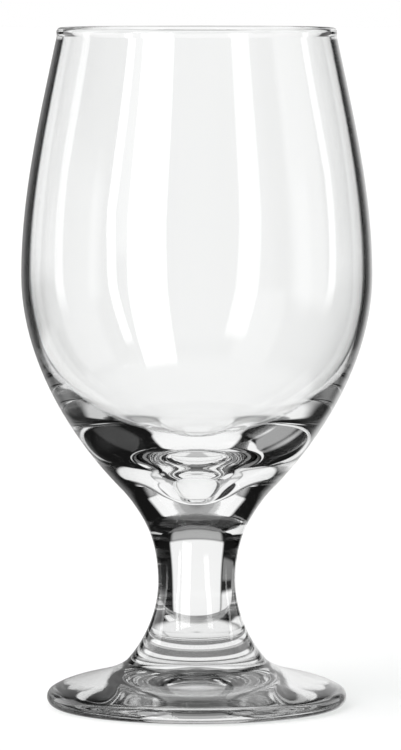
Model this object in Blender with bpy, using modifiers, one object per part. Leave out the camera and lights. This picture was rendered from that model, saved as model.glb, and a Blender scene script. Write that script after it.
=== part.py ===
"""Clear water goblet: a blown bowl, a solid drawn stem and a pressed foot, welded hot end to end.

Metres, +Z up. The origin is the centre of the ring that the foot stands on, and every piece is turned
about Z. Each piece has its own frame at its lower end, and an empty carries the three of them.
"""

import math

import bpy
from mathutils import Vector
from mathutils.geometry import interpolate_bezier

OBJECT_NAME = "water_goblet"

# Welds: a domed end of the stem lies in a dish of the bowl and in one of the foot
WELD_GAP = 0.0003
WELD_SAG = 0.0010

# Foot
FOOT_RADIUS = 0.0381
FOOT_HEIGHT = 0.0110
FOOT_EDGE_ROUND = 0.0023
FOOT_EDGE_SLOPE = math.radians(32)
FOOT_NECK_SLOPE = math.radians(36)
BEARING_RING_WIDTH = 0.0028
FOOT_HOLLOW_RISE = 0.0060
FOOT_HOLLOW_POWER = 1.2

# Stem
STEM_HEIGHT = 0.0364
STEM_FOOT_RADIUS = 0.0180
STEM_FOOT_LEAN = math.radians(43)
STEM_TOP_RADIUS = 0.0137
STEM_TOP_LEAN = math.radians(31)
WAIST_RADIUS = 0.0098
WAIST_HEIGHT = 0.0202

# Bowl, heights above its weld
BOWL_HEIGHT = 0.1240
RIM_RADIUS = 0.0354
RIM_LEAN = math.radians(12)
BEAD_RADIUS = 0.0012
BEAD_DEPTH = 0.0021
BEAD_PROUD = 0.0001
WIDEST_RADIUS = 0.0444
WIDEST_HEIGHT = 0.0614
SHOULDER_RADIUS = 0.0191
SHOULDER_HEIGHT = 0.0072
SHOULDER_LEAN = math.radians(44.5)
RIM_WALL = 0.00175
WIDEST_WALL = 0.0024
BASE_THICKNESS = 0.0142
FLOOR_POWER = 2.06
DIMPLE_DEPTH = 0.0072
DIMPLE_RADIUS = 0.0070
DIMPLE_POWER = 2.6

# Glass
GLASS_COLOUR = (0.96, 0.97, 0.965, 1.0)
GLASS_ROUGHNESS = 0.02
GLASS_INDEX = 1.52

# Turning
TURN_STEPS = 48
SPAN_POINTS = 9
ROUND_POINTS = 9
DOME_POINTS = 5
FLOOR_POINTS = 26
HANDLE_SHARE = 1.0 / 3.0
MERGE_DISTANCE = 0.00001


def station(radius, height):
    """A point of an outline, at a radius from the axis and a height."""
    return Vector((radius, 0.0, height))


def heading(lean):
    """The way down an outline that leans out from straight down by an angle."""
    return Vector((math.sin(lean), 0.0, -math.cos(lean)))


def sweep(start, start_lean, end, end_lean):
    """A smooth run down an outline between two stations, with its lean at each."""
    reach = (end - start).length * HANDLE_SHARE
    start_handle = start + heading(start_lean) * reach
    end_handle = end - heading(end_lean) * reach
    return interpolate_bezier(start, start_handle, end_handle, end, SPAN_POINTS)


def arc(centre, radius, first, last):
    """A run along a circle from one angle to another, counted up from straight out."""
    angles = [first + (last - first) * i / (ROUND_POINTS - 1) for i in range(ROUND_POINTS)]
    return [centre + station(radius * math.cos(a), radius * math.sin(a)) for a in angles]


def dome(radius, height, sag, power=2.0):
    """A run from the axis out to the rim of a dome: a dish where the sag is negative, a cone at power 1."""
    shares = [i / DOME_POINTS for i in range(DOME_POINTS + 1)]
    return [station(radius * s, height + sag * (1.0 - s ** power)) for s in shares]


def bowl_floor(radius, top, depth):
    """A quarter of a squared ellipse, from the widest place inside the bowl down to the dimple in its floor."""
    run = []
    for i in range(FLOOR_POINTS + 1):
        share = math.cos(math.pi / 2 * i / FLOOR_POINTS) if i < FLOOR_POINTS else 0.0
        drop = depth * (1.0 - share ** FLOOR_POWER) ** (1.0 / FLOOR_POWER)
        dimple = DIMPLE_DEPTH * math.exp(-((radius * share / DIMPLE_RADIUS) ** DIMPLE_POWER))
        run.append(station(radius * share, top - drop - dimple))
    return run


def join(*runs):
    """One outline from runs that follow each other, with each shared station kept once."""
    outline = list(runs[0])
    for run in runs[1:]:
        meets = (run[0] - outline[-1]).length < MERGE_DISTANCE
        outline.extend(run[1:] if meets else run)
    return outline


def clear_glass(name):
    """A smooth clear glass of its own for one piece."""
    material = bpy.data.materials.new(name)
    material.use_nodes = True
    shader = material.node_tree.nodes["Principled BSDF"]
    shader.inputs["Base Color"].default_value = GLASS_COLOUR
    shader.inputs["Roughness"].default_value = GLASS_ROUGHNESS
    shader.inputs["Metallic"].default_value = 0.0
    shader.inputs["IOR"].default_value = GLASS_INDEX
    shader.inputs["Transmission Weight"].default_value = 1.0
    return material


def turned_piece(name, outline, base_height, carrier):
    """An outline turned once about Z, set at its height on the carrier."""
    mesh = bpy.data.meshes.new(name)
    mesh.from_pydata(outline, [(i, i + 1) for i in range(len(outline) - 1)], [])
    piece = bpy.data.objects.new(name, mesh)
    piece.data.materials.append(clear_glass(name + "_glass"))
    piece.location.z = base_height
    piece.parent = carrier
    turn = piece.modifiers.new("turn", "SCREW")
    turn.axis = "Z"
    turn.steps = TURN_STEPS
    turn.render_steps = TURN_STEPS
    turn.use_merge_vertices = True
    turn.merge_threshold = MERGE_DISTANCE
    turn.use_smooth_shade = True
    carrier.users_collection[0].objects.link(piece)
    return piece


def foot_outline():
    """The foot: a dish for the stem, a domed top, a round edge, a flat ring and a hollow underside."""
    neck = station(STEM_FOOT_RADIUS, FOOT_HEIGHT)
    edge_centre = station(FOOT_RADIUS - FOOT_EDGE_ROUND, FOOT_EDGE_ROUND)
    edge = arc(edge_centre, FOOT_EDGE_ROUND, math.pi / 2 - FOOT_EDGE_SLOPE, -math.pi / 2)
    top = sweep(neck, math.pi / 2 - FOOT_NECK_SLOPE, edge[0], math.pi / 2 - FOOT_EDGE_SLOPE)
    hollow = dome(edge_centre.x - BEARING_RING_WIDTH, 0.0, FOOT_HOLLOW_RISE, FOOT_HOLLOW_POWER)
    return join(dome(STEM_FOOT_RADIUS, FOOT_HEIGHT, -WELD_SAG), top, edge, list(reversed(hollow)))


def stem_outline():
    """The stem: a domed top, a waist and a domed lower end."""
    top = station(STEM_TOP_RADIUS, STEM_HEIGHT)
    waist = station(WAIST_RADIUS, WAIST_HEIGHT)
    bottom = station(STEM_FOOT_RADIUS, 0.0)
    upper = sweep(top, -STEM_TOP_LEAN, waist, 0.0)
    lower = sweep(waist, 0.0, bottom, STEM_FOOT_LEAN)
    lower_dome = dome(STEM_FOOT_RADIUS, 0.0, -WELD_SAG)
    return join(dome(STEM_TOP_RADIUS, STEM_HEIGHT, WELD_SAG), upper, lower, list(reversed(lower_dome)))


def bowl_outline():
    """The bowl: its inside from floor to rim, the bead, its outside down to the dish for the stem."""
    neck = station(RIM_RADIUS - BEAD_PROUD, BOWL_HEIGHT - BEAD_DEPTH)
    widest = station(WIDEST_RADIUS, WIDEST_HEIGHT)
    shoulder = station(SHOULDER_RADIUS, SHOULDER_HEIGHT)
    weld = station(STEM_TOP_RADIUS, 0.0)
    upper = sweep(neck, RIM_LEAN, widest, 0.0)
    belly = sweep(widest, 0.0, shoulder, -SHOULDER_LEAN)
    stub = sweep(shoulder, -SHOULDER_LEAN, weld, -STEM_TOP_LEAN)

    inner_neck = station(neck.x - RIM_WALL, neck.z)
    inner_widest = station(WIDEST_RADIUS - WIDEST_WALL, WIDEST_HEIGHT)
    inner_upper = sweep(inner_neck, RIM_LEAN, inner_widest, 0.0)
    floor_height = WELD_SAG + BASE_THICKNESS
    floor = bowl_floor(inner_widest.x, WIDEST_HEIGHT, WIDEST_HEIGHT - floor_height)
    inside = list(reversed(join(inner_upper, floor)))

    bead_centre = station(RIM_RADIUS - BEAD_RADIUS, BOWL_HEIGHT - BEAD_RADIUS)
    bead = arc(bead_centre, BEAD_RADIUS, math.pi, 0.0)
    dish = dome(STEM_TOP_RADIUS, 0.0, WELD_SAG)
    return join(inside, bead, upper, belly, stub, list(reversed(dish)))


def main():
    """Clears the scene and stands the three pieces on each other."""
    for old in list(bpy.data.objects):
        bpy.data.objects.remove(old, do_unlink=True)
    parts = bpy.data.collections.new(OBJECT_NAME)
    bpy.context.scene.collection.children.link(parts)
    carrier = bpy.data.objects.new(OBJECT_NAME + "_origin", None)
    parts.objects.link(carrier)

    stem_base = FOOT_HEIGHT + WELD_GAP
    bowl_base = stem_base + STEM_HEIGHT + WELD_GAP
    turned_piece("foot", foot_outline(), 0.0, carrier)
    turned_piece("stem", stem_outline(), stem_base, carrier)
    turned_piece("bowl", bowl_outline(), bowl_base, carrier)


main()
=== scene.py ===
"""A clear water goblet: a blown bowl, a drawn stem and a pressed foot, fused hot, in a bright-field studio.

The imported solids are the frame. Each one is replaced by a finely turned piece of clear glass of the same
shape, in the same place. Metres, +Z up, the goblet's axis on Z and its foot standing on z = 0.
"""

from __future__ import annotations

import logging
import math
from dataclasses import dataclass, field
from enum import Enum, IntEnum

import bpy
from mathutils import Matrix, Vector
from mathutils.geometry import interpolate_bezier

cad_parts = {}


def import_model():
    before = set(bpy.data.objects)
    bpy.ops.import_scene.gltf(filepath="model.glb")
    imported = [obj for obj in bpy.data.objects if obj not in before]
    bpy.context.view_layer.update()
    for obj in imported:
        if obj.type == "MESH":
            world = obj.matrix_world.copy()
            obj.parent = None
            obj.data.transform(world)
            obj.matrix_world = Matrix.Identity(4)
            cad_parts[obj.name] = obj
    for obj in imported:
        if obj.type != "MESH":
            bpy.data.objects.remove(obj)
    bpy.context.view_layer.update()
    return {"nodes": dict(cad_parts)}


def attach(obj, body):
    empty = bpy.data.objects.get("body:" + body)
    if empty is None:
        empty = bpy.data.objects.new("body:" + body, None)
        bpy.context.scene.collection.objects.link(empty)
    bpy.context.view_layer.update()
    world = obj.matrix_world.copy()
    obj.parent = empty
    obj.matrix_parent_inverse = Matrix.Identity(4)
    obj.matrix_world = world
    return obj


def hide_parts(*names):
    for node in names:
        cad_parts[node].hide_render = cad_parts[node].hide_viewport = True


LOG = logging.getLogger("water_goblet")
BODY = "root"
FRAME_PIXELS = (401, 750)

# Turning
AXIS = (0.0, 0.0, 1.0)
ORIGIN = (0.0, 0.0, 0.0)
QUARTER_TURN = math.pi / 2
TURN_STEPS = 288
START_PLANE = 0.01
MERGE_DISTANCE = 0.000002
SMOOTH_ANGLE = math.radians(40)
HANDLE_SHARE = 1.0 / 3.0

# How far a face's normal points along the axis where the face is a weld, or an underside
WELD_FACING = 0.8
DOWN_FACING = -0.5
WELD_REACH = 1.1

Colour = tuple[float, float, float, float]
Span = tuple[float, float]
Place = tuple[float, float, float]

WHITE: Colour = (1.0, 1.0, 1.0, 1.0)


class Flow(Enum):
    """The way the glass ran while it was soft, as a stretch of its faint cords along X, Y and Z."""

    BLOWN = (1.0, 1.0, 0.35)
    DRAWN = (1.0, 1.0, 0.18)
    PRESSED = (0.6, 0.6, 1.6)


class Surface(IntEnum):
    """The surfaces of a piece, in the order of its materials."""

    GLASS = 0
    WELD = 1
    UNDERSIDE = 2


class Seen(Enum):
    """How a panel of the studio shows on the goblet."""

    THROUGH = "through the glass"
    MIRRORED = "mirrored on its outside"


@dataclass
class Outline:
    """A chain of stations in the XZ plane, at a radius and a height, that a piece is turned from.

    Attributes:
        stations: The stations in order along the outline.
    """

    stations: list[Vector] = field(default_factory=list)

    @staticmethod
    def at(radius: float, height: float) -> Vector:
        """A station at a radius from the axis and a height."""
        return Vector((radius, 0.0, height))

    @staticmethod
    def heading(lean: float) -> Vector:
        """The way down an outline that leans out from straight down by an angle."""
        return Vector((math.sin(lean), 0.0, -math.cos(lean)))

    @staticmethod
    def sweep(start: Vector, lean: float, end: Vector, end_lean: float, points: int) -> list[Vector]:
        """A smooth run down an outline between two stations.

        Args:
            start: The upper station.
            lean: The lean out from straight down at the upper station.
            end: The lower station.
            end_lean: The lean at the lower station.
            points: How many stations the run has.

        Returns:
            The stations of the run.
        """
        reach = (end - start).length * HANDLE_SHARE
        first = start + Outline.heading(lean) * reach
        second = end - Outline.heading(end_lean) * reach
        return interpolate_bezier(start, first, second, end, points)

    @staticmethod
    def creased(run: list[Vector], share: float = 0.06) -> list[Vector]:
        """A run with one more station close to its start, so that a crease there stays tight.

        Args:
            run: The stations of the run.
            share: How far along the first span the station stands.

        Returns:
            The stations with the new one.
        """
        return [run[0], run[0].lerp(run[1], share)] + run[1:]

    @staticmethod
    def arc(centre: Vector, radius: float, first: float, last: float, points: int) -> list[Vector]:
        """A run along a circle.

        Args:
            centre: The circle's middle.
            radius: The circle's radius.
            first: The angle that the run starts at, counted up from straight out.
            last: The angle that it ends at.
            points: How many stations the run has.

        Returns:
            The stations of the run.
        """
        angles = [first + (last - first) * i / (points - 1) for i in range(points)]
        return [centre + Outline.at(radius * math.cos(a), radius * math.sin(a)) for a in angles]

    @staticmethod
    def dome(radius: float, height: float, sag: float, spans: int, power: float = 2.0) -> list[Vector]:
        """A run from the axis out to the rim of a dome, or of a dish where the sag is negative.

        Args:
            radius: The dome's radius.
            height: The height of its rim.
            sag: How far its middle stands over its rim.
            spans: How many spans the run has.
            power: 2 for a round dome, 1 for a cone.

        Returns:
            The stations of the run.
        """
        shares = [i / spans for i in range(spans + 1)]
        return [Outline.at(radius * s, height + sag * (1.0 - s**power)) for s in shares]

    def follow(self, run: list[Vector]) -> Outline:
        """Adds a run of stations, and leaves out the first where it repeats the last.

        Args:
            run: The stations to add.

        Returns:
            This outline.
        """
        meets = bool(self.stations) and (run[0] - self.stations[-1]).length < MERGE_DISTANCE
        self.stations.extend(run[1:] if meets else run)
        return self


@dataclass(frozen=True)
class Weld:
    """A weld between two pieces: a shallow dome, halfway across the gap between their solids.

    Attributes:
        radius: The radius of its edge.
        height: The height of its edge.
        sag: How far its middle stands over its edge.
        spans: How many spans its outline has.
    """

    radius: float
    height: float
    sag: float
    spans: int = 8

    def edge(self) -> Vector:
        """The station at its edge."""
        return Outline.at(self.radius, self.height)

    def run(self) -> list[Vector]:
        """Its stations, from the axis out to its edge."""
        return Outline.dome(self.radius, self.height, self.sag, self.spans)

    def holds(self, face: bpy.types.MeshPolygon) -> bool:
        """Whether a face of a piece belongs to the weld.

        Args:
            face: A face of the piece.

        Returns:
            True where the face lies within the weld's radius and reach and looks along the axis.
        """
        along = abs(face.normal.z) >= WELD_FACING
        near = abs(face.center.z - self.height) < abs(self.sag) * WELD_REACH
        return along and near and face.center.xy.length < self.radius


FOOT_WELD = Weld(radius=0.0180, height=0.01115, sag=-0.0010)
BOWL_WELD = Weld(radius=0.0137, height=0.04785, sag=0.0010)


class NodeWriter:
    """Writes nodes into a node tree."""

    def __init__(self, tree: bpy.types.NodeTree) -> None:
        """Takes the node tree to write in."""
        self.tree = tree

    def node(self, kind: str, constants: dict[str, float | Colour | Place] | None = None) -> bpy.types.Node:
        """A new node.

        Args:
            kind: The node's type.
            constants: The values of its inputs, by their names.

        Returns:
            The node.
        """
        made = self.tree.nodes.new(kind)
        for name, value in (constants or {}).items():
            made.inputs[name].default_value = value
        return made

    def link(self, source: bpy.types.NodeSocket, target: bpy.types.NodeSocket) -> None:
        """Links an output to an input."""
        self.tree.links.new(source, target)

    def calc(self, operation: str, *values: bpy.types.NodeSocket | float) -> bpy.types.NodeSocket:
        """One math node.

        Args:
            operation: What it does.
            *values: A socket or a number for each of its inputs.

        Returns:
            Its result.
        """
        node = self.node("ShaderNodeMath")
        node.operation = operation
        for socket, value in zip(node.inputs, values):
            if isinstance(value, bpy.types.NodeSocket):
                self.link(value, socket)
            else:
                socket.default_value = value
        return node.outputs["Value"]

    def scale(self, value: bpy.types.NodeSocket, source: Span, target: Span) -> bpy.types.Node:
        """A node that carries one range of values over to another, and holds them within it.

        Args:
            value: What to carry over.
            source: The first range.
            target: The other range.

        Returns:
            The node.
        """
        node = self.node("ShaderNodeMapRange", {
            "From Min": source[0], "From Max": source[1], "To Min": target[0], "To Max": target[1],
        })
        self.link(value, node.inputs["Value"])
        return node

    def ramp(
        self, value: bpy.types.NodeSocket, none: float, full: float, smooth: bool = True
    ) -> bpy.types.NodeSocket:
        """A step between two values, up or down.

        Args:
            value: What to measure.
            none: Where the step is 0.
            full: Where the step is 1.
            smooth: Whether its two ends are eased.

        Returns:
            The step's height.
        """
        rising = none < full
        source = (none, full) if rising else (full, none)
        node = self.scale(value, source, (0.0, 1.0) if rising else (1.0, 0.0))
        node.interpolation_type = "SMOOTHSTEP" if smooth else "LINEAR"
        return node.outputs["Result"]


def bare_material(name: str) -> bpy.types.Material:
    """A node material that has no nodes yet.

    Args:
        name: The material's name.

    Returns:
        The material.
    """
    made = bpy.data.materials.new(name)
    made.use_nodes = True
    made.node_tree.nodes.clear()
    return made


@dataclass(frozen=True)
class ClearGlass:
    """Clear, fire-polished glass with faint cords from its making.

    Attributes:
        flow: The way the glass ran.
        tint: The colour that is left of white light after two surfaces.
        index: The index of refraction.
        cord_scale: How many cords there are in a metre.
        cord_detail: How much finer detail the cords have.
        cord_twist: How far the cords wander.
        cord_depth: The depth of the waves that the cords leave, in metres.
        film_scale: How many patches of faint film there are in a metre.
        film_detail: How much finer detail the film has.
        film_range: The film's levels where the haze starts and where it is full.
        haze: The lowest and the highest roughness.
        shade: The share of light that one wall lets through to the floor.
        edge: The painted shade that the glass's colour takes where it is seen along its wall, or None where
            it stays clear.
        edge_range: How far a surface is turned from the eye where the painted shade starts and where it is
            full.
        edge_top: The heights where the painted shade starts to fade out under the rim and where it is gone.
        edge_low: The heights where it is gone and where it is full, over the base.
        shadow: The tone that the table's shade gives an underside near its ring, or None where it has none.
        shadow_radii: How far from the axis the shade starts and where it is full.
    """

    flow: Flow
    tint: Colour = (0.992, 0.996, 0.994, 1.0)
    index: float = 1.52
    cord_scale: float = 70.0
    cord_detail: float = 1.5
    cord_twist: float = 0.4
    cord_depth: float = 0.000004
    film_scale: float = 42.0
    film_detail: float = 4.0
    film_range: Span = (0.45, 0.75)
    haze: Span = (0.0, 0.012)
    shade: Colour = (0.90, 0.91, 0.905, 1.0)
    edge: Colour | None = None
    edge_range: Span = (0.655, 0.715)
    edge_top: Span = (0.1690, 0.1698)
    edge_low: Span = (0.072, 0.092)
    shadow: Colour | None = None
    shadow_radii: Span = (0.016, 0.024)

    def ripples(self, write: NodeWriter, place: bpy.types.NodeSocket) -> bpy.types.NodeSocket:
        """The shallow waves that the cords leave in the surface.

        Args:
            write: The writer of the material's nodes.
            place: The place on the piece, stretched along the flow.

        Returns:
            The surface's normal.
        """
        cords = write.node("ShaderNodeTexNoise", {
            "Scale": self.cord_scale, "Detail": self.cord_detail, "Distortion": self.cord_twist,
        })
        waves = write.node("ShaderNodeBump", {"Strength": 1.0, "Distance": self.cord_depth})
        write.link(place, cords.inputs["Vector"])
        write.link(cords.outputs["Fac"], waves.inputs["Height"])
        return waves.outputs["Normal"]

    def film(self, write: NodeWriter, place: bpy.types.NodeSocket) -> bpy.types.NodeSocket:
        """The faint film on the surface.

        Args:
            write: The writer of the material's nodes.
            place: The place on the piece, stretched along the flow.

        Returns:
            The surface's roughness.
        """
        patches = write.node("ShaderNodeTexNoise", {"Scale": self.film_scale, "Detail": self.film_detail})
        write.link(place, patches.inputs["Vector"])
        return write.scale(patches.outputs["Fac"], self.film_range, self.haze).outputs["Result"]

    def blend(
        self, write: NodeWriter, glass: bpy.types.Node, tone: Colour, share: bpy.types.NodeSocket
    ) -> None:
        """Blends the glass from its tint to another tone.

        Args:
            write: The writer of the material's nodes.
            glass: The glass shader.
            tone: The other tone.
            share: How much of that tone there is, from 0 to 1.
        """
        mix = write.node("ShaderNodeMix")
        mix.data_type = "RGBA"
        first, second = (socket for socket in mix.inputs if socket.type == "RGBA")
        first.default_value = self.tint
        second.default_value = tone
        blended = next(socket for socket in mix.outputs if socket.type == "RGBA")
        write.link(share, mix.inputs["Factor"])
        write.link(blended, glass.inputs["Base Color"])

    def paint_edge_shade(self, write: NodeWriter, glass: bpy.types.Node) -> None:
        """Paints shade into the glass's colour where the eye looks along its wall, for camera rays only, in
        place of the dark sides of a studio.

        Args:
            write: The writer of the material's nodes.
            glass: The glass shader.
        """
        turned = write.node("ShaderNodeLayerWeight")
        path = write.node("ShaderNodeLightPath")
        place = write.node("ShaderNodeTexCoord")
        parts = write.node("ShaderNodeSeparateXYZ")
        write.link(place.outputs["Object"], parts.inputs["Vector"])
        height = parts.outputs["Z"]
        along = write.ramp(turned.outputs["Facing"], *self.edge_range)
        seen = write.calc("MULTIPLY", along, path.outputs["Is Camera Ray"])
        under_rim = write.ramp(height, self.edge_top[1], self.edge_top[0], smooth=False)
        over_base = write.ramp(height, *self.edge_low, smooth=False)
        wall = write.calc("MULTIPLY", under_rim, over_base)
        self.blend(write, glass, self.edge, write.calc("MULTIPLY", seen, wall))

    def ring_shadow(self, write: NodeWriter, glass: bpy.types.Node) -> None:
        """Darkens an underside towards its ring, where it stands close over its own shade on the table.

        Args:
            write: The writer of the material's nodes.
            glass: The glass shader.
        """
        place = write.node("ShaderNodeTexCoord")
        flat = write.node("ShaderNodeVectorMath")
        flat.operation = "MULTIPLY"
        flat.inputs[1].default_value = (1.0, 1.0, 0.0)
        reach = write.node("ShaderNodeVectorMath")
        reach.operation = "LENGTH"
        write.link(place.outputs["Object"], flat.inputs[0])
        write.link(flat.outputs["Vector"], reach.inputs[0])
        near_ring = write.ramp(reach.outputs["Value"], *self.shadow_radii)
        self.blend(write, glass, self.shadow, near_ring)

    def material(self, name: str) -> bpy.types.Material:
        """Makes the glass as a node material.

        Args:
            name: The material's name.

        Returns:
            The material.
        """
        made = bare_material(name)
        write = NodeWriter(made.node_tree)
        place = write.node("ShaderNodeTexCoord")
        stretch = write.node("ShaderNodeMapping", {"Scale": self.flow.value})
        write.link(place.outputs["Object"], stretch.inputs["Vector"])
        along = stretch.outputs["Vector"]
        glass = write.node("ShaderNodeBsdfPrincipled", {
            "Base Color": self.tint, "Metallic": 0.0, "IOR": self.index, "Transmission Weight": 1.0,
        })
        write.link(self.film(write, along), glass.inputs["Roughness"])
        write.link(self.ripples(write, along), glass.inputs["Normal"])
        # Painted shade along the edges, where the glass has it
        if self.edge:
            self.paint_edge_shade(write, glass)
        if self.shadow:
            self.ring_shadow(write, glass)
        shade = write.node("ShaderNodeBsdfTransparent", {"Color": self.shade})
        path = write.node("ShaderNodeLightPath")
        either = write.node("ShaderNodeMixShader")
        out = write.node("ShaderNodeOutputMaterial")
        write.link(path.outputs["Is Shadow Ray"], either.inputs["Fac"])
        write.link(glass.outputs["BSDF"], either.inputs[1])
        write.link(shade.outputs["BSDF"], either.inputs[2])
        write.link(either.outputs["Shader"], out.inputs["Surface"])
        return made


@dataclass(frozen=True)
class FusedWeld:
    """A weld where two gathers melted into each other, so that light goes on through it unbent."""

    def material(self, name: str) -> bpy.types.Material:
        """Makes the weld as a node material.

        Args:
            name: The material's name.

        Returns:
            The material.
        """
        made = bare_material(name)
        write = NodeWriter(made.node_tree)
        through = write.node("ShaderNodeBsdfTransparent")
        out = write.node("ShaderNodeOutputMaterial")
        write.link(through.outputs["BSDF"], out.inputs["Surface"])
        return made


@dataclass(frozen=True)
class PaleFloor:
    """A pale matt floor that shows a little brighter to the camera.

    Attributes:
        colour: Its colour.
        lift: The brightness that it shows to the camera over the light that falls on it.
    """

    colour: Colour = (0.82, 0.82, 0.82, 1.0)
    lift: float = 0.15

    def material(self, name: str) -> bpy.types.Material:
        """Makes the floor as a node material.

        Args:
            name: The material's name.

        Returns:
            The material.
        """
        made = bare_material(name)
        write = NodeWriter(made.node_tree)
        path = write.node("ShaderNodeLightPath")
        matt = write.node("ShaderNodeBsdfDiffuse", {"Color": self.colour})
        glow = write.node("ShaderNodeEmission")
        both = write.node("ShaderNodeAddShader")
        out = write.node("ShaderNodeOutputMaterial")
        lift = write.calc("MULTIPLY", path.outputs["Is Camera Ray"], self.lift)
        write.link(lift, glow.inputs["Strength"])
        write.link(matt.outputs["BSDF"], both.inputs[0])
        write.link(glow.outputs["Emission"], both.inputs[1])
        write.link(both.outputs["Shader"], out.inputs["Surface"])
        return made


# The bowl's glass gets a painted near-black shade along the edges that the camera sees, in place of the
# studio's dark sides
BOWL_GLASS = ClearGlass(Flow.BLOWN, edge=(0.006, 0.006, 0.006, 1.0))
STEM_GLASS = ClearGlass(Flow.DRAWN, tint=(0.93, 0.934, 0.932, 1.0))
FOOT_GLASS = ClearGlass(Flow.PRESSED, tint=(0.84, 0.845, 0.842, 1.0))
FOOT_UNDERSIDE = ClearGlass(Flow.PRESSED, haze=(0.03, 0.08), shadow=(0.30, 0.30, 0.30, 1.0))


@dataclass
class TurnedPiece:
    """A piece of the goblet that is turned about Z.

    Attributes:
        name: The piece's name.
        node: The CAD node that it stands for.
        slot: The name that its glass material is given.
        finish: Its glass.
        welds: Its welds, from the lowest up.
        underside: The glass of its underside, where that has a finish of its own.
    """

    name: str
    node: str
    slot: str
    finish: ClearGlass
    welds: tuple[Weld, ...]
    underside: ClearGlass | None = None

    def outline(self) -> Outline:
        """The outline that the piece is turned from."""
        raise NotImplementedError

    def build(self) -> bpy.types.Object:
        """Draws the outline station by station and spins it once round the axis.

        Returns:
            The piece, at the origin, with its place in its mesh.
        """
        stations = self.outline().stations
        bpy.ops.object.select_all(action="DESELECT")
        bpy.ops.mesh.primitive_plane_add(size=START_PLANE, location=ORIGIN)
        piece = bpy.context.object
        piece.name = self.name
        piece.data.name = self.name
        bpy.ops.object.mode_set(mode="EDIT")
        bpy.ops.mesh.select_mode(type="VERT")
        bpy.ops.mesh.select_all(action="SELECT")
        bpy.ops.mesh.merge(type="CENTER")
        bpy.ops.transform.translate(value=stations[0])
        for before, after in zip(stations, stations[1:]):
            bpy.ops.mesh.extrude_vertices_move(TRANSFORM_OT_translate={"value": after - before})
        bpy.ops.mesh.select_all(action="SELECT")
        bpy.ops.mesh.spin(steps=TURN_STEPS, angle=math.tau, center=ORIGIN, axis=AXIS)
        bpy.ops.mesh.select_all(action="SELECT")
        bpy.ops.mesh.remove_doubles(threshold=MERGE_DISTANCE)
        bpy.ops.mesh.normals_make_consistent(inside=False)
        bpy.ops.object.mode_set(mode="OBJECT")
        bpy.ops.object.shade_smooth_by_angle(angle=SMOOTH_ANGLE)
        return piece

    def surface(self, face: bpy.types.MeshPolygon) -> Surface:
        """Which surface of the piece a face belongs to.

        Args:
            face: A face of the piece.

        Returns:
            The surface.
        """
        if any(weld.holds(face) for weld in self.welds):
            return Surface.WELD
        looks_down = face.normal.z < DOWN_FACING
        return Surface.UNDERSIDE if self.underside and looks_down else Surface.GLASS

    def dress(self, piece: bpy.types.Object) -> None:
        """Gives the piece its glass, its welds a clear way through, and its underside its own finish.

        Args:
            piece: The piece's object.
        """
        piece.data.materials.clear()
        piece.data.materials.append(self.finish.material(self.slot))
        piece.data.materials.append(FusedWeld().material(self.node + "_weld"))
        if self.underside:
            piece.data.materials.append(self.underside.material(self.node + "_underside"))
        for face in piece.data.polygons:
            face.material_index = self.surface(face)

    def seat(self, piece: bpy.types.Object) -> None:
        """Parents the piece to the body's empty and hides its CAD node.

        Args:
            piece: The piece's object.
        """
        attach(piece, BODY)
        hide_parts(self.node)

    def make(self) -> bpy.types.Object:
        """Builds, dresses and seats the piece.

        Returns:
            The finished piece.
        """
        piece = self.build()
        self.dress(piece)
        self.seat(piece)
        LOG.info("%s: %d faces, stands for %s", piece.name, len(piece.data.polygons), self.node)
        return piece


@dataclass
class PressedFoot(TurnedPiece):
    """The round foot: a domed top, a rounded edge, a flat ring to stand on and a hollow underside.

    Attributes:
        radius: Its outer radius.
        neck_slope: How steeply the top falls away from the stem.
        top_points: How many stations the top has.
        edge_round: The radius of the rounded edge.
        edge_slope: How steeply the top falls into the edge.
        edge_points: How many stations the edge has.
        ring_width: The width of the flat ring.
        hollow_rise: How far the hollow rises over the table.
        hollow_power: How round the hollow is: 2 for a dome, 1 for a cone.
        hollow_spans: How many spans the hollow has.
    """

    radius: float = 0.0381
    neck_slope: float = math.radians(36)
    top_points: int = 30
    edge_round: float = 0.0023
    edge_slope: float = math.radians(32)
    edge_points: int = 18
    ring_width: float = 0.0028
    hollow_rise: float = 0.0060
    hollow_power: float = 1.2
    hollow_spans: int = 30

    def outline(self) -> Outline:
        """The dish for the stem, the top, the edge, the ring and the hollow, out from the axis and back.

        Returns:
            The outline.
        """
        line = Outline()
        (weld,) = self.welds
        middle = line.at(self.radius - self.edge_round, self.edge_round)
        edge_lean = QUARTER_TURN - self.edge_slope
        edge = line.arc(middle, self.edge_round, edge_lean, -QUARTER_TURN, self.edge_points)
        top = line.sweep(weld.edge(), QUARTER_TURN - self.neck_slope, edge[0], edge_lean, self.top_points)
        hollow_radius = middle.x - self.ring_width
        hollow = line.dome(hollow_radius, 0.0, self.hollow_rise, self.hollow_spans, self.hollow_power)
        return line.follow(weld.run()).follow(top).follow(edge).follow(hollow[::-1])


@dataclass
class DrawnStem(TurnedPiece):
    """The solid stem: domed ends and a waist between them.

    Attributes:
        foot_lean: The lean of its side where it meets the foot.
        waist_height: The height of the waist.
        waist_radius: The radius of the waist.
        bowl_lean: The lean of its side where it meets the bowl.
        upper_points: How many stations it has over the waist.
        lower_points: How many stations it has under the waist.
    """

    foot_lean: float = math.radians(43)
    waist_height: float = 0.0315
    waist_radius: float = 0.0098
    bowl_lean: float = math.radians(31)
    upper_points: int = 30
    lower_points: int = 34

    def outline(self) -> Outline:
        """The domed top, the waisted side and the domed lower end, out from the axis and back.

        Returns:
            The outline.
        """
        line = Outline()
        lower, upper = self.welds
        waist = line.at(self.waist_radius, self.waist_height)
        line.follow(upper.run())
        line.follow(line.sweep(upper.edge(), -self.bowl_lean, waist, 0.0, self.upper_points))
        line.follow(line.sweep(waist, 0.0, lower.edge(), self.foot_lean, self.lower_points))
        return line.follow(lower.run()[::-1])


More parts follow.
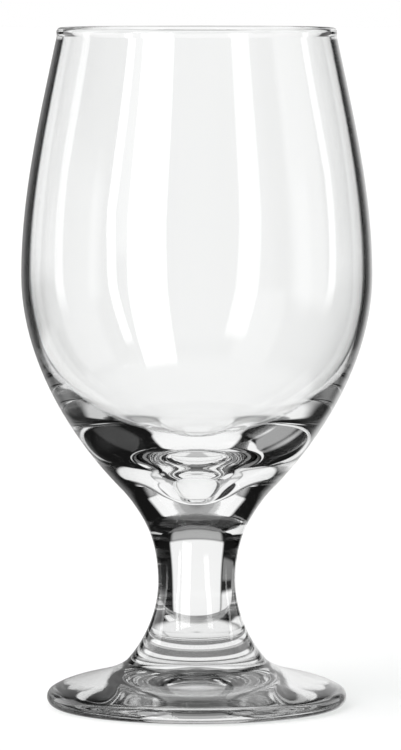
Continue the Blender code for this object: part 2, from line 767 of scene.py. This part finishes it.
@dataclass
class BlownBowl(TurnedPiece):
    """The bowl: a dimpled round floor, a wall that narrows to the rim, a melted bead and a thick base.

    Attributes:
        stem_lean: The lean of its outside where it meets the stem.
        shoulder_height: The height of the shoulder over the stem.
        shoulder_radius: The radius of the shoulder.
        shoulder_lean: The lean of the shoulder.
        stub_points: How many stations the outside has under the shoulder.
        widest_height: The height of the widest place.
        widest_radius: The outer radius of the widest place.
        widest_wall: The wall's thickness there.
        outside_points: How many stations the outside has over the widest place, and under it.
        inside_points: How many stations the inside has over the widest place.
        rim_height: The height of the rim.
        rim_radius: The outer radius of the rim.
        rim_lean: The lean of the wall under the rim.
        rim_wall: The wall's thickness under the rim.
        bead_radius: The radius of the bead's round.
        bead_depth: How far the bead reaches down from the rim.
        bead_proud: How far the bead stands out from the wall.
        bead_points: How many stations the bead has.
        floor_height: The height of the inside floor, without its dimple.
        floor_power: How square the floor is: 2 for an ellipse, and more for a squarer one.
        floor_points: How many spans the floor has.
        dimple_depth: The depth of the dimple in the floor's middle.
        dimple_radius: The radius of the dimple.
        dimple_power: How steep the dimple's side is.
    """

    stem_lean: float = math.radians(31)
    shoulder_height: float = 0.0552
    shoulder_radius: float = 0.0191
    shoulder_lean: float = math.radians(44.5)
    stub_points: int = 14
    widest_height: float = 0.1094
    widest_radius: float = 0.0444
    widest_wall: float = 0.0024
    outside_points: int = 44
    inside_points: int = 40
    rim_height: float = 0.1720
    rim_radius: float = 0.0354
    rim_lean: float = math.radians(12)
    rim_wall: float = 0.00175
    bead_radius: float = 0.0012
    bead_depth: float = 0.0021
    bead_proud: float = 0.0001
    bead_points: int = 21
    floor_height: float = 0.0632
    floor_power: float = 2.06
    floor_points: int = 90
    dimple_depth: float = 0.0072
    dimple_radius: float = 0.0070
    dimple_power: float = 2.6

    def floor(self) -> list[Vector]:
        """A quarter of a squared ellipse, from the widest place inside down to the dimple in the floor.

        Returns:
            The stations of the run.
        """
        radius = self.widest_radius - self.widest_wall
        depth = self.widest_height - self.floor_height
        run = []
        for i in range(self.floor_points + 1):
            share = math.cos(QUARTER_TURN * i / self.floor_points) if i < self.floor_points else 0.0
            drop = depth * (1.0 - share**self.floor_power) ** (1.0 / self.floor_power)
            steepness = (radius * share / self.dimple_radius) ** self.dimple_power
            dimple = self.dimple_depth * math.exp(-steepness)
            run.append(Outline.at(radius * share, self.widest_height - drop - dimple))
        return run

    def outline(self) -> Outline:
        """The inside from floor to rim, the bead, the outside down to the weld, and the dish for the stem.

        Returns:
            The outline.
        """
        line = Outline()
        (weld,) = self.welds
        neck = line.at(self.rim_radius - self.bead_proud, self.rim_height - self.bead_depth)
        widest = line.at(self.widest_radius, self.widest_height)
        shoulder = line.at(self.shoulder_radius, self.shoulder_height)
        inner_neck = line.at(neck.x - self.rim_wall, neck.z)
        inner_widest = line.at(self.widest_radius - self.widest_wall, self.widest_height)
        inner_wall = line.sweep(inner_neck, self.rim_lean, inner_widest, 0.0, self.inside_points)
        inside = line.creased(inner_wall) + self.floor()[1:]
        bead_middle = line.at(self.rim_radius - self.bead_radius, self.rim_height - self.bead_radius)
        line.follow(inside[::-1])
        line.follow(line.arc(bead_middle, self.bead_radius, math.pi, 0.0, self.bead_points))
        line.follow(line.creased(line.sweep(neck, self.rim_lean, widest, 0.0, self.outside_points)))
        line.follow(line.sweep(widest, 0.0, shoulder, -self.shoulder_lean, self.outside_points))
        stub = line.sweep(shoulder, -self.shoulder_lean, weld.edge(), -self.stem_lean, self.stub_points)
        return line.follow(stub).follow(weld.run()[::-1])


@dataclass(frozen=True)
class Panel:
    """A panel of the studio as the goblet sees it.

    Attributes:
        azimuth: The bearing of its middle in degrees: 0 is behind the goblet, 90 to its right.
        half_width: Half its width, in degrees.
        low: The elevation of its lower edge, in degrees.
        high: The elevation of its upper edge, in degrees.
        level: Its brightness.
        seen: How it shows on the goblet.
        soft: The half-width of its blurred edge, in degrees.
        bow: How many degrees its middle moves towards the camera for each one above and under its bend.
        bend: The elevation where it is furthest from the camera, in degrees.
        tail: How much softer its lower edge is than the others, in degrees.
    """

    azimuth: float
    half_width: float
    low: float
    high: float
    level: float
    seen: Seen = Seen.THROUGH
    soft: float = 1.5
    bow: Span = (0.0, 0.0)
    bend: float = 9.0
    tail: float = 0.0


# Each panel has its bearing, half width, lower edge, upper edge and level

# The white field behind the goblet, which gets darker towards the ceiling
BACKDROP = (
    Panel(0.0, 28.5, -39.0, 18.5, 1.04, soft=2.0),
    Panel(0.0, 26.0, 18.5, 36.0, 0.50, soft=3.0),
    Panel(0.0, 34.0, 36.0, 48.0, 0.28, soft=3.0),
    Panel(0.0, 60.0, 48.0, 90.0, 0.12, soft=6.0),
)
# The white table: grey close behind the goblet, then white at its sides, under it and in front of it
TABLE = (
    Panel(0.0, 12.0, -56.0, -39.0, 0.58, soft=3.0),
    Panel(-40.0, 31.0, -56.0, -39.0, 0.95, soft=3.0),
    Panel(40.0, 31.0, -56.0, -39.0, 0.95, soft=3.0),
    Panel(0.0, 70.0, -90.0, -56.0, 0.95, soft=3.0),
    Panel(180.0, 112.0, -90.0, -45.0, 0.92, soft=8.0),
    Panel(180.0, 190.0, -90.0, -76.0, 0.75, soft=4.0),
)
# Cards at the sides, and the grey room on the camera's side
CARDS = (
    Panel(180.0, 55.0, -36.0, 40.0, 0.24, soft=8.0),
    Panel(-90.0, 18.0, -42.0, 10.0, 1.0, soft=4.0),
    Panel(-64.0, 9.0, -18.0, 3.0, 0.40, soft=3.0),
    Panel(-45.0, 15.0, -60.0, -15.0, 1.0, soft=3.0),
    Panel(-45.0, 14.0, -6.0, 6.0, 0.25),
    Panel(66.0, 9.0, -22.0, 8.0, 0.06, soft=3.0),
    Panel(102.0, 5.5, -16.0, 9.0, 0.65, soft=2.5),
    Panel(135.0, 17.0, -48.0, -5.0, 1.0, soft=3.0),
)
# Tall soft boxes, which the bowl mirrors as bright strips
SOFT_BOXES = (
    Panel(-146.4, 13.2, -40.0, 34.0, 5.0, Seen.MIRRORED, 0.8, (0.1, 0.1), tail=2.0),
    Panel(-120.6, 3.3, -29.0, 34.0, 5.0, Seen.MIRRORED, 0.7, (0.28, 0.24), tail=2.5),
    Panel(-74.5, 4.4, -10.0, 34.0, 2.8, Seen.MIRRORED, 1.2, (0.28, 0.28), tail=6.0),
    Panel(143.9, 7.6, -28.0, 34.0, 3.2, Seen.MIRRORED, 1.2, (-0.05, 0.24), tail=2.0),
    Panel(77.0, 3.6, -10.0, 34.0, 3.2, Seen.MIRRORED, 1.2, (0.45, 0.28), tail=6.0),
)
# The soft glow of the room and of the white field, which the bowl mirrors near its two sides
SIDE_GLOW = (
    Panel(-58.0, 20.0, -3.0, 34.0, 1.5, Seen.MIRRORED, 3.0),
    Panel(58.0, 20.0, -3.0, 34.0, 0.8, Seen.MIRRORED, 3.0),
    Panel(-12.0, 12.0, -60.0, 60.0, 0.38, Seen.MIRRORED, 8.0),
    Panel(12.0, 12.0, -60.0, 60.0, 0.90, Seen.MIRRORED, 8.0),
)


class SkyNodes(NodeWriter):
    """Writes a sky of panels as nodes of a world."""

    def __init__(self, tree: bpy.types.NodeTree) -> None:
        """Starts from the direction that a ray leaves in.

        Args:
            tree: The world's node tree.
        """
        super().__init__(tree)
        place = self.node("ShaderNodeTexCoord")
        parts = self.node("ShaderNodeSeparateXYZ")
        self.link(place.outputs["Generated"], parts.inputs["Vector"])
        self.azimuth = self.calc("ARCTAN2", parts.outputs["X"], parts.outputs["Y"])
        self.elevation = self.calc("ARCSINE", parts.outputs["Z"])

    def fade(self, angle: bpy.types.NodeSocket, full: float, none: float) -> bpy.types.NodeSocket:
        """A smooth step between two angles.

        Args:
            angle: The angle to measure, in radians.
            full: Where the step is 1, in degrees.
            none: Where the step is 0, in degrees.

        Returns:
            The step's height.
        """
        return self.ramp(angle, math.radians(none), math.radians(full))

    def bowed(self, panel: Panel) -> bpy.types.NodeSocket:
        """How far a bowed panel has moved round at the ray's elevation.

        Args:
            panel: The panel.

        Returns:
            The angle, in radians.
        """
        side = math.copysign(1.0, panel.azimuth)
        over = self.calc("SUBTRACT", self.elevation, math.radians(panel.bend))
        above = self.calc("MULTIPLY", self.calc("MAXIMUM", over, 0.0), panel.bow[0] * side)
        under = self.calc("MULTIPLY", self.calc("MINIMUM", over, 0.0), -panel.bow[1] * side)
        return self.calc("ADD", above, under)

    def panel(self, panel: Panel) -> bpy.types.NodeSocket:
        """The brightness of one panel.

        Args:
            panel: The panel.

        Returns:
            Its brightness in the ray's direction.
        """
        bearing = self.calc("ADD", self.bowed(panel), math.radians(panel.azimuth))
        offset = self.calc("SUBTRACT", self.azimuth, bearing)
        apart = self.calc("ARCCOSINE", self.calc("COSINE", offset))
        across = self.fade(apart, panel.half_width - panel.soft, panel.half_width + panel.soft)
        lower = panel.soft + panel.tail
        above = self.fade(self.elevation, panel.low + lower, panel.low - lower)
        below = self.fade(self.elevation, panel.high - panel.soft, panel.high + panel.soft)
        inside = self.calc("MULTIPLY", across, self.calc("MULTIPLY", above, below))
        return self.calc("MULTIPLY", inside, panel.level)

    def brightest(self, sockets: list[bpy.types.NodeSocket]) -> bpy.types.NodeSocket:
        """The brightest of several panels.

        Args:
            sockets: Their brightness.

        Returns:
            The highest.
        """
        result = sockets[0]
        for socket in sockets[1:]:
            result = self.calc("MAXIMUM", result, socket)
        return result


@dataclass
class Studio:
    """A bright-field studio: a white field behind, dark sides, soft boxes in front, a white table below.

    Attributes:
        dim: The brightness of the dark room.
        panels: The panels that stand round the goblet.
        floor_size: The length of the floor's sides.
        floor_height: The height of the floor, a hair under the foot.
        floor_finish: The floor's finish.
        lamp_place: Where the lamp hangs. It shines on the origin.
        lamp_strength: The lamp's strength.
        lamp_angle: How wide the lamp is.
        bounces: How often light is followed from surface to surface.
    """

    dim: float = 0.008
    panels: tuple[Panel, ...] = BACKDROP + TABLE + CARDS + SOFT_BOXES + SIDE_GLOW
    floor_size: float = 24.0
    floor_height: float = -0.0003
    floor_finish: PaleFloor = PaleFloor()
    lamp_place: Place = (-0.6, -0.5, 1.6)
    lamp_strength: float = 2.6
    lamp_angle: float = math.radians(50)
    bounces: int = 32

    def sky(self) -> None:
        """Sets the world: white to the camera, and the panels to every other ray."""
        world = bpy.data.worlds.new("studio")
        world.use_nodes = True
        bpy.context.scene.world = world
        world.node_tree.nodes.clear()
        sky = SkyNodes(world.node_tree)
        path = sky.node("ShaderNodeLightPath")
        camera, bent = path.outputs["Is Camera Ray"], path.outputs["Is Transmission Ray"]
        share = {Seen.THROUGH: bent, Seen.MIRRORED: sky.calc("SUBTRACT", 1.0, bent)}
        lit = [sky.calc("MULTIPLY", sky.panel(panel), share[panel.seen]) for panel in self.panels]
        level = sky.calc("MAXIMUM", sky.brightest(lit), self.dim)
        strength = sky.calc("ADD", camera, sky.calc("MULTIPLY", level, sky.calc("SUBTRACT", 1.0, camera)))
        ground = sky.node("ShaderNodeBackground", {"Color": WHITE})
        out = sky.node("ShaderNodeOutputWorld")
        sky.link(strength, ground.inputs["Strength"])
        sky.link(ground.outputs["Background"], out.inputs["Surface"])
        LOG.info("studio sky: %d panels", len(self.panels))

    def floor(self) -> bpy.types.Object:
        """Lays the pale floor, which keeps the goblet's shadow and shows white round it.

        Returns:
            The floor.
        """
        bpy.ops.object.select_all(action="DESELECT")
        bpy.ops.mesh.primitive_plane_add(size=self.floor_size, location=(0.0, 0.0, self.floor_height))
        floor = bpy.context.object
        floor.name = "studio_floor"
        floor.data.materials.append(self.floor_finish.material("pale_floor"))
        floor.visible_glossy = False
        floor.visible_transmission = False
        return floor

    def lamp(self) -> bpy.types.Object:
        """Hangs one wide soft lamp that casts the shadow on the floor.

        Returns:
            The lamp.
        """
        bpy.ops.object.light_add(type="SUN", location=self.lamp_place)
        lamp = bpy.context.object
        lamp.name = "studio_lamp"
        lamp.data.energy = self.lamp_strength
        lamp.data.angle = self.lamp_angle
        lamp.rotation_euler = (-Vector(self.lamp_place)).to_track_quat("-Z", "Y").to_euler()
        lamp.visible_camera = False
        lamp.visible_glossy = False
        lamp.visible_transmission = False
        return lamp

    def build(self) -> None:
        """Sets the sky, the floor, the lamp and how deep light is followed into the glass."""
        self.sky()
        self.floor()
        self.lamp()
        scene = bpy.context.scene
        scene.view_settings.view_transform = "Standard"
        scene.cycles.max_bounces = self.bounces
        scene.cycles.glossy_bounces = self.bounces
        scene.cycles.transmission_bounces = self.bounces
        scene.cycles.transparent_max_bounces = self.bounces


@dataclass
class PhotoCamera:
    """The camera at the photograph's place: level with the rim and about 8 degrees above the foot.

    Attributes:
        place: Where it stands.
        target: What it looks at.
        focal_pixels: Its focal length in pixels of the photograph.
        sensor: Its sensor's long side, in millimetres.
    """

    place: Place = (0.0, -1.4, 0.1918)
    target: Place = (0.00094, 0.0, 0.0841)
    focal_pixels: float = 5543.0
    sensor: float = 36.0

    def build(self) -> bpy.types.Object:
        """Sets the camera up.

        Returns:
            The camera.
        """
        bpy.ops.object.camera_add(location=self.place)
        camera = bpy.context.object
        camera.name = "photo_camera"
        camera.data.sensor_width = self.sensor
        camera.data.lens = self.focal_pixels / max(FRAME_PIXELS) * self.sensor
        aim = Vector(self.target) - Vector(self.place)
        camera.rotation_euler = aim.to_track_quat("-Z", "Y").to_euler()
        bpy.context.scene.camera = camera
        return camera


def main() -> None:
    """Loads the frame, builds the goblet piece by piece and sets the studio round it."""
    logging.basicConfig(level=logging.INFO, format="%(name)s: %(message)s")
    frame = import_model()
    LOG.info("frame: %s", ", ".join(sorted(frame["nodes"])))
    PhotoCamera().build()
    foot = PressedFoot("pressed_foot", "foot", "foot_glass", FOOT_GLASS, (FOOT_WELD,), FOOT_UNDERSIDE)
    stem = DrawnStem("drawn_stem", "stem", "stem_glass", STEM_GLASS, (FOOT_WELD, BOWL_WELD))
    bowl = BlownBowl("blown_bowl", "bowl", "bowl_glass", BOWL_GLASS, (BOWL_WELD,))
    for piece in (foot, stem, bowl):
        piece.make()
    Studio().build()


if __name__ == "__main__":
    main()
